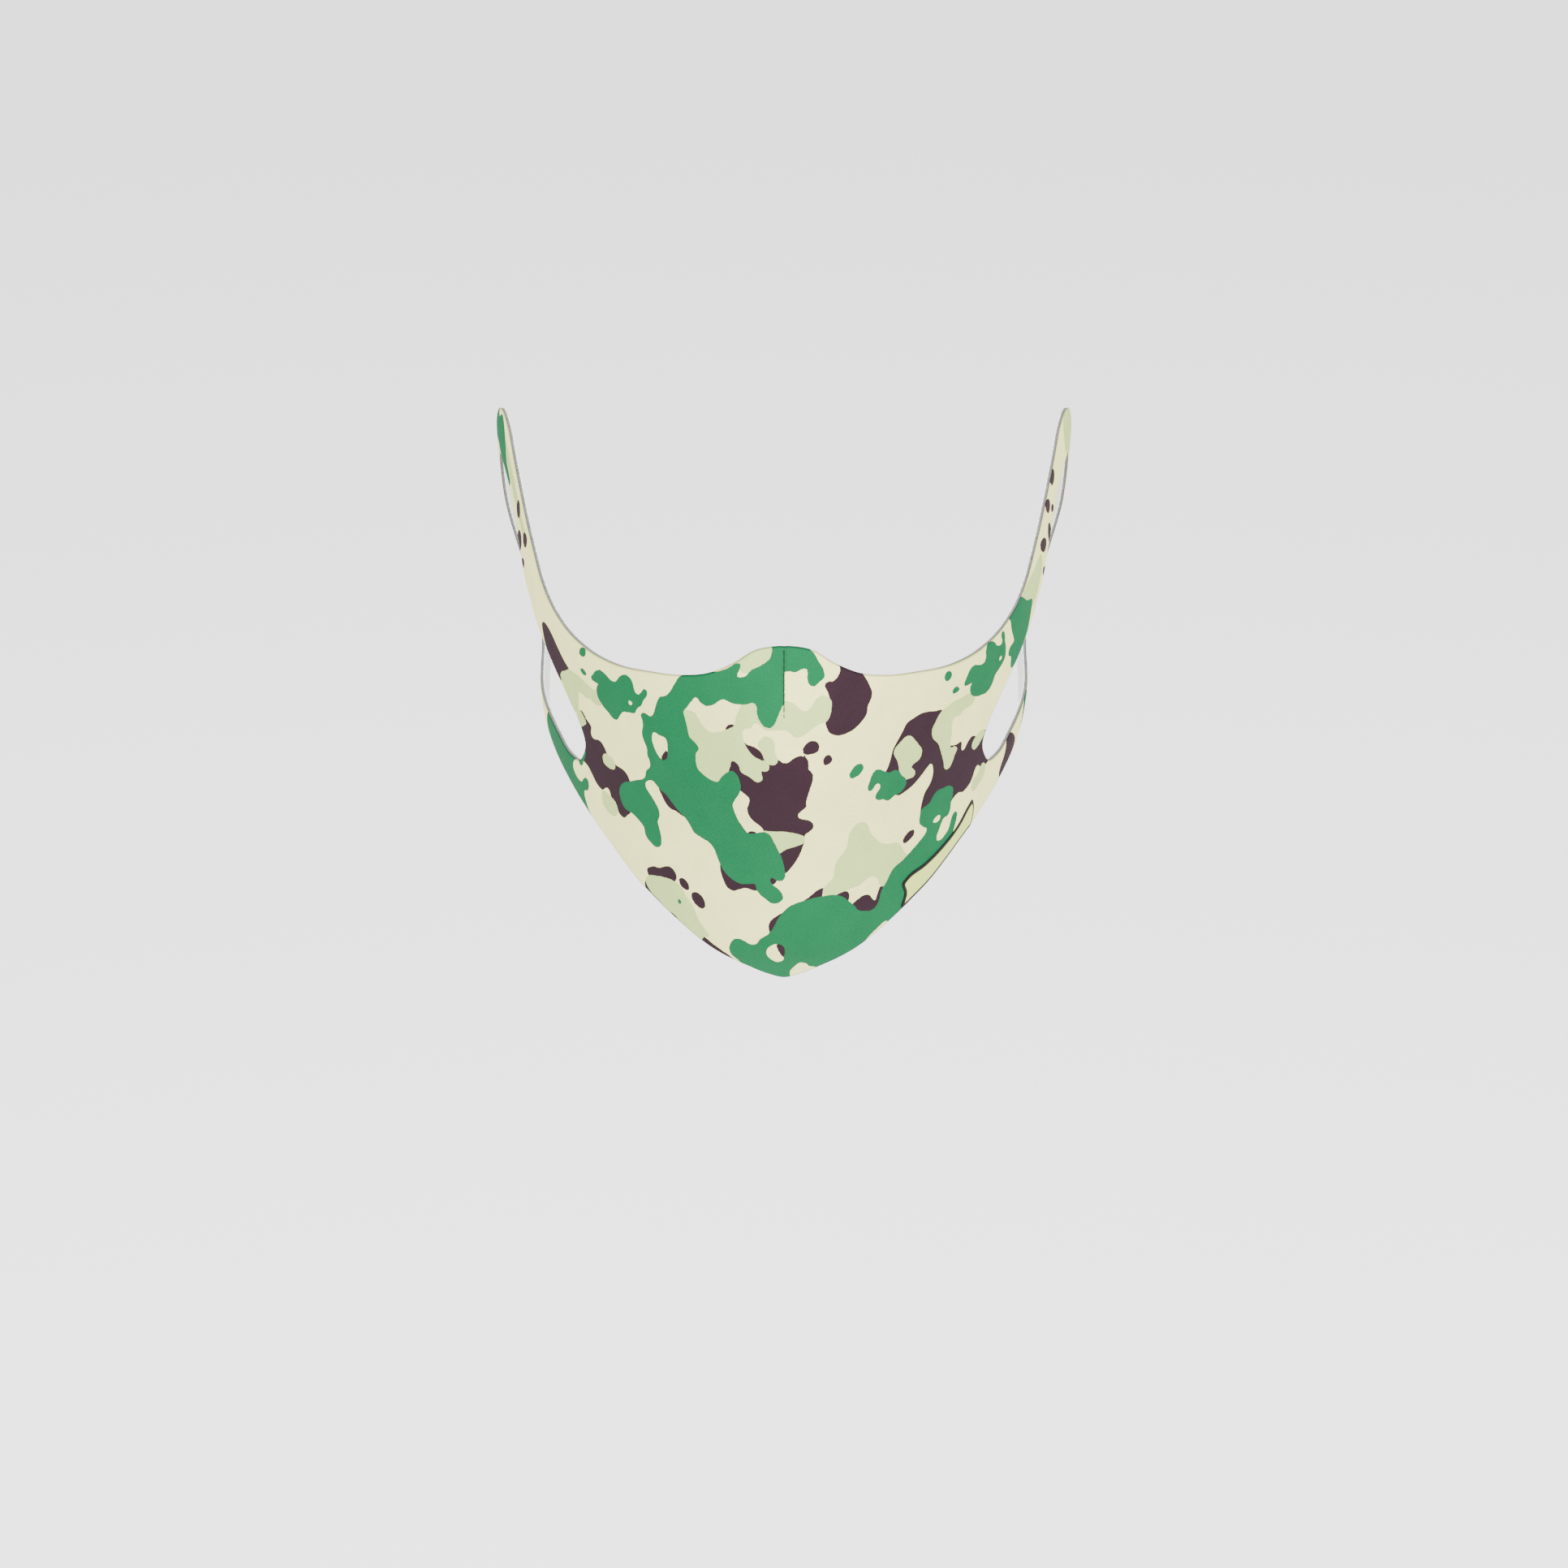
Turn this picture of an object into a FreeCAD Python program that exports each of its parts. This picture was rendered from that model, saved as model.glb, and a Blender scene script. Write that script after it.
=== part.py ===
"""Contoured camouflage face mask with ear loops cut in one piece with the face panel.

Millimetres. The origin is midway between the wearer's ears, +Z is up and the mask faces -Y, so the
wearer's left is +X. The outside of the fabric is one smooth surface, described by horizontal sections:
a point on it is (along, height), where along is the distance round the section from the mid-plane.
Every layer is a shell between two offsets of that surface.
"""

import FreeCAD, Part
import bisect
import math
import os

Point = FreeCAD.Vector
Flat = FreeCAD.Base.Vector2d

# Face form: (height, value) stations, joined by a smooth curve
NOSE_TO_EAR = [(-104, 80), (-91, 92), (-80, 102), (-68, 108), (-52, 113), (-38, 119), (-26, 124),
               (-12, 121), (0, 113), (12, 103), (30, 98), (48, 98)]
HALF_WIDTH = [(-104, 34), (-91, 44), (-75, 54.5), (-60, 62.5), (-45, 67), (-30, 68.6), (-15, 70.5),
              (0, 72.4), (20, 73.7), (30, 74.2), (38, 73.4), (48, 71.5)]
SQUARENESS = [(-104, 2.1), (-85, 1.95), (-60, 1.62), (-40, 1.45), (-20, 1.38), (0, 1.42), (20, 1.5),
              (48, 1.5)]
# Over the root of the ear the form widens backward: from this y, fastest at y = 0 and done by the last y
EAR_FLARE = [(-104, 0), (-30, 0), (-10, 0.6), (10, 1), (48, 1)]
FLARE_START, FLARE_END = -18.0, 35.0
FLARE_SLOPE = 0.27
RIDGE_ROUNDING = 7.0
TEMPLE_ROUNDING = 14.0
BEHIND_EAR_RADIUS = 300.0
BEHIND_EAR_REACH = 50.0

# Outline of the raw-cut edge: (x, z) over the face, then (y, z) round the ear loop
TOP_OVER_FACE = [(0, 7.8), (7.5, 6.7), (12.8, 3.6), (20.2, -0.2), (26.6, -2.3), (35.2, -4.5), (44.5, -7)]
LOOP_EDGE = [(-64, -7.6), (-49.4, -5.3), (-42.5, -2.6), (-36.2, 1.7), (-29.5, 9.6), (-23, 18), (-14, 27),
             (-3, 34), (7, 36.6), (15, 34.5), (22, 28.5), (28, 19), (31.5, 7), (33, -5), (32, -18), (27, -31),
             (16, -39.5), (0, -45), (-20, -49), (-38, -53), (-54, -57.5), (-70, -63)]
BOTTOM_OVER_FACE = [(40.5, -67.2), (33.5, -71.5), (27.5, -75.3), (19, -81), (9.8, -86.3), (4, -90),
                    (0, -91.6)]
# Ear opening, (y, z), round from its front tip over the top
EAR_OPENING = [(-59.9, -37.5), (-57, -31.6), (-51.5, -27.8), (-36, -20.1), (-20.4, -12), (-12, -6), (-8, 4),
               (-3, 14), (4, 20.8), (10, 22.8), (16, 19), (20.5, 8.5), (22, -6), (19.5, -20), (12, -31),
               (-2, -36), (-18, -38.5), (-36, -41.5), (-48, -44), (-56, -42.6)]

# Bonded fabric: how far each layer's two faces lie from the outside surface
LAYERS = {"face": (-0.35, 0.0), "foam": (-0.9, -0.4), "lining": (-1.3, -0.95)}
MID_FABRIC = -0.65

# Where the loop bends and stretches: each cut runs across the upper strap and then the lower one,
# between these heights
HINGE_Y = -44.0
HINGE_SPANS = ((4.0, -34.0), (-36.0, -66.0))
HINGE_GAP = 3.0
STRETCH_Y = -5.0
STRETCH_SPANS = ((42.0, 2.0), (-30.0, -56.0))
STRETCH_GAP = 0.3

# Trim
DART_TOP, DART_END = 7.3, -8.5
DART_WIDTH = 0.5
DART_FACES = (0.02, 0.22)
TAPE_WIDTH = 7.0
TAPE_TOP, TAPE_END = 6.5, -11.0
TAPE_FACES = (-1.65, -1.35)
# Edge of the label, (along, height)
LABEL_EDGE = [(37.3, -64), (39, -62.9), (47.7, -61.2), (56.1, -59.1), (65.3, -55.9), (72.6, -51.8),
              (74.3, -51.2), (75.1, -52.6), (74.9, -57.5), (74, -59.2), (71.5, -59.9), (66, -61.6),
              (60, -63.8), (50, -67.7), (40.5, -70.9), (38.5, -71.7), (37, -72), (38.2, -67.8)]
LABEL_FACES = (0.05, 0.3)

# Surface grid
GRID = 4.0
DEGREE = 3
ALONG_LIMIT = 200.0
HEIGHT_LIMITS = (-104.0, 48.0)
SECTION_STEPS = 200
SLOPE_STEP = 1.0


def through(stations):
    """A smooth curve through (height, value) stations."""
    heights = [station[0] for station in stations]
    values = [station[1] for station in stations]
    last = len(stations) - 1
    slopes = []
    for i in range(last + 1):
        before, after = max(i - 1, 0), min(i + 1, last)
        slopes.append((values[after] - values[before]) / (heights[after] - heights[before]))

    def value(height):
        i = min(max(bisect.bisect_right(heights, height) - 1, 0), last - 1)
        step = heights[i + 1] - heights[i]
        t = (height - heights[i]) / step
        ends = (2 * t**3 - 3 * t**2 + 1) * values[i] + (3 * t**2 - 2 * t**3) * values[i + 1]
        bends = (t**3 - 2 * t**2 + t) * slopes[i] + (t**3 - t**2) * slopes[i + 1]
        return ends + bends * step

    return value


nose_to_ear = through(NOSE_TO_EAR)
half_width = through(HALF_WIDTH)
squareness = through(SQUARENESS)
ear_flare = through(EAR_FLARE)


def rounded(value, radius):
    return math.sqrt((value + radius) ** 2 - radius**2)


def unrounded(value, radius):
    return math.sqrt(value**2 + radius**2) - radius


def flare(y):
    """How much the form widens over the root of the ear, at full strength."""
    if y < 0:
        return FLARE_SLOPE * max(y - FLARE_START, 0) ** 2 / (-2 * FLARE_START)
    return FLARE_SLOPE * (y - y**2 / (2 * FLARE_END) - FLARE_START / 2)


sections = {}


def section(height):
    """The half section at one height: its (x, y) points and how far along each one is."""
    key = round(height, 3)
    if key not in sections:
        width, depth, power = half_width(height), nose_to_ear(height), 2 / squareness(height)
        points = []
        for i in range(SECTION_STEPS + 1):
            turn = math.pi / 2 * i / SECTION_STEPS
            x = rounded(math.sin(turn) ** power * unrounded(width, RIDGE_ROUNDING), RIDGE_ROUNDING)
            y = rounded(max(math.cos(turn), 0) ** power * unrounded(depth, TEMPLE_ROUNDING), TEMPLE_ROUNDING)
            points.append((x + ear_flare(height) * flare(-y), -y))
        for i in range(1, round(BEHIND_EAR_REACH) + 1):
            points.append((width - i**2 / (2 * BEHIND_EAR_RADIUS) + ear_flare(height) * flare(i), i))
        lengths = [0.0]
        for (x0, y0), (x1, y1) in zip(points, points[1:]):
            lengths.append(lengths[-1] + math.hypot(x1 - x0, y1 - y0))
        sections[key] = points, lengths
    return sections[key]


def outside(along, height):
    """The point of the outside surface at (along, height)."""
    points, lengths = section(height)
    i = min(max(bisect.bisect_right(lengths, abs(along)) - 1, 0), len(points) - 2)
    t = (abs(along) - lengths[i]) / (lengths[i + 1] - lengths[i])
    x = points[i][0] + t * (points[i + 1][0] - points[i][0])
    y = points[i][1] + t * (points[i + 1][1] - points[i][1])
    return Point(math.copysign(x, along), y, height)


def outward(along, height):
    across = outside(along + SLOPE_STEP, height) - outside(along - SLOPE_STEP, height)
    upward = outside(along, height + SLOPE_STEP) - outside(along, height - SLOPE_STEP)
    return across.cross(upward).normalize()


def seen(axis, place, height):
    """(along, height) of the surface point with this x (axis 0) or y (axis 1)."""
    points, lengths = section(height)
    i = min(max(bisect.bisect_right([p[axis] for p in points], place) - 1, 0), len(points) - 2)
    t = (place - points[i][axis]) / (points[i + 1][axis] - points[i][axis])
    return lengths[i] + t * (lengths[i + 1] - lengths[i]), height


def grid_knots(low, high):
    spans = round((high - low) / GRID)
    return [low + i * (high - low) / spans for i in range(spans + 1)]


def pole_places(knots):
    """Where each pole belongs, so that the surface's parameters are (along, height)."""
    clamped = [knots[0]] * DEGREE + knots + [knots[-1]] * DEGREE
    return [sum(clamped[i + 1 : i + 1 + DEGREE]) / DEGREE for i in range(len(clamped) - DEGREE - 1)]


ALONG_KNOTS = grid_knots(-ALONG_LIMIT, ALONG_LIMIT)
HEIGHT_KNOTS = grid_knots(*HEIGHT_LIMITS)
POLES = [[(outside(along, height), outward(along, height)) for height in pole_places(HEIGHT_KNOTS)]
         for along in pole_places(ALONG_KNOTS)]


def offset_surface(distance):
    """The outside surface moved outward by a distance."""
    surface = Part.BSplineSurface()
    counts = [[DEGREE + 1] + [1] * (len(knots) - 2) + [DEGREE + 1] for knots in (ALONG_KNOTS, HEIGHT_KNOTS)]
    surface.buildFromPolesMultsKnots(
        [[place + normal * distance for place, normal in row] for row in POLES],
        *counts, ALONG_KNOTS, HEIGHT_KNOTS, False, False, DEGREE, DEGREE)
    return surface


def shell_solid(curves, faces):
    """The solid between two offsets of the outside surface, inside closed (along, height) curves."""
    wires, caps = [], []
    for distance in faces:
        surface = offset_surface(distance)
        wire = Part.Wire([curve.toShape(surface) for curve in curves])
        wires.append(wire)
        caps.append(Part.Face(surface, wire))
    sides = [Part.makeRuledSurface(low, high) for low, high in zip(wires[0].Edges, wires[1].Edges)]
    skin = Part.makeCompound(caps + sides)
    skin.sewShape()
    solid = Part.Solid(skin.Shells[0])
    if solid.Volume < 0:
        solid.reverse()
    if not (solid.isValid() and solid.isClosed()):
        raise RuntimeError("a shell is not a valid closed solid")
    return solid


def closed_spline(points):
    """A smooth closed curve through (along, height) points."""
    curve = Part.Geom2d.BSplineCurve2d()
    curve.interpolate(Points=[Flat(*point) for point in points], PeriodicFlag=True)
    return curve


def whole_edge():
    """The cut edge of the whole mask, from behind the wearer's right ear over the top and back."""
    left_half = [seen(0, *place) for place in TOP_OVER_FACE] + [seen(1, *place) for place in LOOP_EDGE]
    left_half += [seen(0, *place) for place in BOTTOM_OVER_FACE]
    right_half = [(-along, height) for along, height in left_half[-2:0:-1]]
    points = left_half + right_half
    rearmost = points.index(min(points))
    return closed_spline(points[rearmost:] + points[:rearmost])


def line(start, end):
    return Part.Geom2d.Line2dSegment(Flat(start.x, start.y), Flat(end.x, end.y))


def stretch(curve, start, end):
    """The part of a curve between two of its parameters."""
    piece = curve.copy()
    piece.segment(start, end)
    return piece


def cut_line(y, span, shift, side):
    """A straight cut across one strap at this y, moved along the fabric by shift."""
    ends = [seen(1, y, height) for height in span]
    return line(*[Flat(side * (along + shift), height) for along, height in ends])


def crossing(curve, cut):
    """The parameter at which a curve crosses a cut."""
    places = curve.intersectCC(cut)
    if len(places) != 1:
        raise RuntimeError("a cut does not cross its strap once")
    return curve.parameter(places[0])


class Side:
    """Where the cuts cross one side's outline: side 1 is the wearer's left and -1 the right."""

    def __init__(self, edge, side):
        self.edge = edge
        self.hole = closed_spline([(side * along, height)
                                   for along, height in [seen(1, *place) for place in EAR_OPENING]])
        places = {"face": (HINGE_Y, HINGE_SPANS, -HINGE_GAP / 2),
                  "strap": (HINGE_Y, HINGE_SPANS, HINGE_GAP / 2),
                  "stretch": (STRETCH_Y, STRETCH_SPANS, -STRETCH_GAP / 2),
                  "arc": (STRETCH_Y, STRETCH_SPANS, STRETCH_GAP / 2)}
        self.on_edge, self.on_hole = {}, {}
        for name, (y, spans, shift) in places.items():
            cuts = [cut_line(y, span, shift, side) for span in spans]
            self.on_edge[name] = [crossing(self.edge, cut) for cut in cuts]
            self.on_hole[name] = [crossing(self.hole, cut) for cut in cuts]

    def bridge(self, cut, strap):
        """The straight cut across one strap: 0 is the upper one and 1 the lower one."""
        return line(self.edge.value(self.on_edge[cut][strap]), self.hole.value(self.on_hole[cut][strap]))

    def notch(self):
        """The front end of the ear opening, from the upper cut round to the lower one."""
        over, under = self.on_hole["face"]
        return [self.bridge("face", 0), stretch(self.hole, self.hole.FirstParameter, over),
                stretch(self.hole, under, self.hole.LastParameter), self.bridge("face", 1)]

    def strap(self, strap):
        edge = sorted((self.on_edge["strap"][strap], self.on_edge["stretch"][strap]))
        hole = sorted((self.on_hole["strap"][strap], self.on_hole["stretch"][strap]))
        return [stretch(self.edge, *edge), self.bridge("stretch", strap),
                stretch(self.hole, *hole), self.bridge("strap", strap)]

    def arc(self):
        return [stretch(self.edge, *self.on_edge["arc"]), self.bridge("arc", 1),
                stretch(self.hole, *self.on_hole["arc"]), self.bridge("arc", 0)]


def strip(half_span, top, bottom):
    """An upright strip on the mid-plane."""
    corners = [Flat(-half_span, top), Flat(half_span, top), Flat(half_span, bottom), Flat(-half_span, bottom)]
    return [line(a, b) for a, b in zip(corners, corners[1:] + corners[:1])]


edge = whole_edge()
left, right = Side(edge, 1), Side(edge, -1)
tops, bottoms = zip(right.on_edge["face"], left.on_edge["face"])
face_outline = [stretch(edge, *tops), *left.notch(), stretch(edge, *bottoms[::-1]), *right.notch()[::-1]]
MIRROR = (Point(0, 0, 0), Point(1, 0, 0))
nodes = {}
for layer, faces in LAYERS.items():
    nodes[f"{layer}_front"] = shell_solid(face_outline, faces)
    loop = {"upper_strap": left.strap(0), "lower_strap": left.strap(1), "ear_arc": left.arc()}
    for name, curves in loop.items():
        solid = shell_solid(curves, faces)
        nodes[f"{layer}_left_{name}"] = solid
        nodes[f"{layer}_right_{name}"] = solid.mirror(*MIRROR)
nodes["nose_dart_stitching"] = shell_solid(strip(DART_WIDTH / 2, DART_TOP, DART_END), DART_FACES)
nodes["nose_dart_tape"] = shell_solid(strip(TAPE_WIDTH / 2, TAPE_TOP, TAPE_END), TAPE_FACES)
nodes["side_label"] = shell_solid([closed_spline(LABEL_EDGE)], LABEL_FACES)

os.makedirs("parts", exist_ok=True)
for name, solid in nodes.items():
    solid.exportStep(f"parts/{name}.step")
    print(name, round(solid.Volume, 1), solid.isValid())

# Places that the record repeats
for strap in (0, 1):
    cut = left.bridge("strap", strap)
    along, height = seen(1, HINGE_Y, (cut.StartPoint.y + cut.EndPoint.y) / 2)
    place = outside(along, height) + outward(along, height) * MID_FABRIC
    print("hinge point", [round(c, 2) for c in place])
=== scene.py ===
import math

import bpy
import numpy as np
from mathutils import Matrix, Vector
from mathutils.geometry import delaunay_2d_cdt


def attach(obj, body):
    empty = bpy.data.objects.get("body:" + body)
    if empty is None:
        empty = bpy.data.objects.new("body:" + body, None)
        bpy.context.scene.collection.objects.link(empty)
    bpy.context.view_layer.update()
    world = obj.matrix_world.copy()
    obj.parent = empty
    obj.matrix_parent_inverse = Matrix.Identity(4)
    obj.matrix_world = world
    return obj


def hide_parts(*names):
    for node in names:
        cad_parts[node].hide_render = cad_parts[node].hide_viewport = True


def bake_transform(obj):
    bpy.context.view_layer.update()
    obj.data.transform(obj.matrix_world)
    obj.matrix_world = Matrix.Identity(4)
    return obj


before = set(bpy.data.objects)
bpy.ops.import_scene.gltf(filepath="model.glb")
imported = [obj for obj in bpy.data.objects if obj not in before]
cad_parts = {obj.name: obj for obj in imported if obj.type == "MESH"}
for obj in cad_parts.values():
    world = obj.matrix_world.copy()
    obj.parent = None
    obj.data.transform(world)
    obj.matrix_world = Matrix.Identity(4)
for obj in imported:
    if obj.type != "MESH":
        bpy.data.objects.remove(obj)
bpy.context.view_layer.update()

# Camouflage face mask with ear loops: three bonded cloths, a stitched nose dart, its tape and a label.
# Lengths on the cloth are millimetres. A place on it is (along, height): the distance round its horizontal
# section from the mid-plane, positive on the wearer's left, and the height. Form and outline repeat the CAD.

MM = 0.001

# Face form: (height, value) stations, joined by a smooth curve
NOSE_TO_EAR = [(-104, 80), (-91, 92), (-80, 102), (-68, 108), (-52, 113), (-38, 119), (-26, 124),
               (-12, 121), (0, 113), (12, 103), (30, 98), (48, 98)]
HALF_WIDTH = [(-104, 34), (-91, 44), (-75, 54.5), (-60, 62.5), (-45, 67), (-30, 68.6), (-15, 70.5),
              (0, 72.4), (20, 73.7), (30, 74.2), (38, 73.4), (48, 71.5)]
SQUARENESS = [(-104, 2.1), (-85, 1.95), (-60, 1.62), (-40, 1.45), (-20, 1.38), (0, 1.42), (20, 1.5),
              (48, 1.5)]
# Over the root of the ear the form widens backward: from this y, fastest at y = 0 and done by the last y
EAR_FLARE = [(-104, 0), (-30, 0), (-10, 0.6), (10, 1), (48, 1)]
FLARE_START, FLARE_END = -18.0, 35.0
FLARE_SLOPE = 0.27
RIDGE_ROUNDING = 7.0
TEMPLE_ROUNDING = 14.0
BEHIND_EAR_RADIUS = 300.0
BEHIND_EAR_REACH = 50
SECTION_STEPS = 200

# Outline of the raw-cut edge: (x, z) over the face, then (y, z) round the ear loop
TOP_OVER_FACE = [(0, 7.8), (7.5, 6.7), (12.8, 3.6), (20.2, -0.2), (26.6, -2.3), (35.2, -4.5), (44.5, -7)]
LOOP_EDGE = [(-64, -7.6), (-49.4, -5.3), (-42.5, -2.6), (-36.2, 1.7), (-29.5, 9.6), (-23, 18), (-14, 27),
             (-3, 34), (7, 36.6), (15, 34.5), (22, 28.5), (28, 19), (31.5, 7), (33, -5), (32, -18),
             (27, -31), (16, -39.5), (0, -45), (-20, -49), (-38, -53), (-54, -57.5), (-70, -63)]
BOTTOM_OVER_FACE = [(40.5, -67.2), (33.5, -71.5), (27.5, -75.3), (19, -81), (9.8, -86.3), (4, -90),
                    (0, -91.6)]
# Ear opening, (y, z), round from its front tip over the top
EAR_OPENING = [(-59.9, -37.5), (-57, -31.6), (-51.5, -27.8), (-36, -20.1), (-20.4, -12), (-12, -6), (-8, 4),
               (-3, 14), (4, 20.8), (10, 22.8), (16, 19), (20.5, 8.5), (22, -6), (19.5, -20), (12, -31),
               (-2, -36), (-18, -38.5), (-36, -41.5), (-48, -44), (-56, -42.6)]

# Bonded cloths: where each one's two faces lie, measured outward from the outside of the mask
LAYERS = {"face": (-0.35, 0.0), "foam": (-0.9, -0.4), "lining": (-1.3, -0.95)}
EDGE_ROLL, EDGE_REACH = 0.2, 0.5
LABEL_ROLL = 0.1

# Each side is built in three parts, split at these y
FRONT_END, WING_END = -62.0, -28.0

# Nose dart
DART_END = -8.5
DART_DEPTH, DART_WIDTH = 0.3, 0.5
DART_FADE = 4.0
DART_ROWS_TOP = 9.0
DART_COLUMNS = (-0.9, -0.45, 0.0, 0.45, 0.9)
STITCH_TOP, STITCH_PITCH = 7.0, 1.5
STITCH_DIP, STITCH_RISE, THREAD_RADIUS = -0.35, 0.3, 0.12
TAPE = dict(half=3.5, top=6.5, end=-11.0, faces=(-1.65, -1.35))

# Edge of the label, (along, height)
LABEL_EDGE = [(37.3, -64), (39, -62.9), (47.7, -61.2), (56.1, -59.1), (65.3, -55.9), (72.6, -51.8),
              (74.3, -51.2), (75.1, -52.6), (74.9, -57.5), (74, -59.2), (71.5, -59.9), (66, -61.6),
              (60, -63.8), (50, -67.7), (40.5, -70.9), (38.5, -71.7), (37, -72), (38.2, -67.8)]
LABEL_FACES = (0.05, 0.3)

# Mesh: spacing of the inner corners, steps along curves, and room kept beside seams and edges
FINE, COARSE = 0.75, 1.8
CURVE_STEP, OUTLINE_STEP, TAPE_STEP, THREAD_STEP = 0.6, 1.0, 0.8, 0.15
SEAM_CLEARANCE = 0.35
SEAM_HEIGHTS = np.arange(-75.0, 40.0)
INWARD_NUDGE = 0.02
WELD = 1e-4
RING = 0.45
GRID_ALONG = np.arange(-200.0, 201.0)
GRID_HEIGHT = np.arange(-104.0, 49.0)

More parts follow.
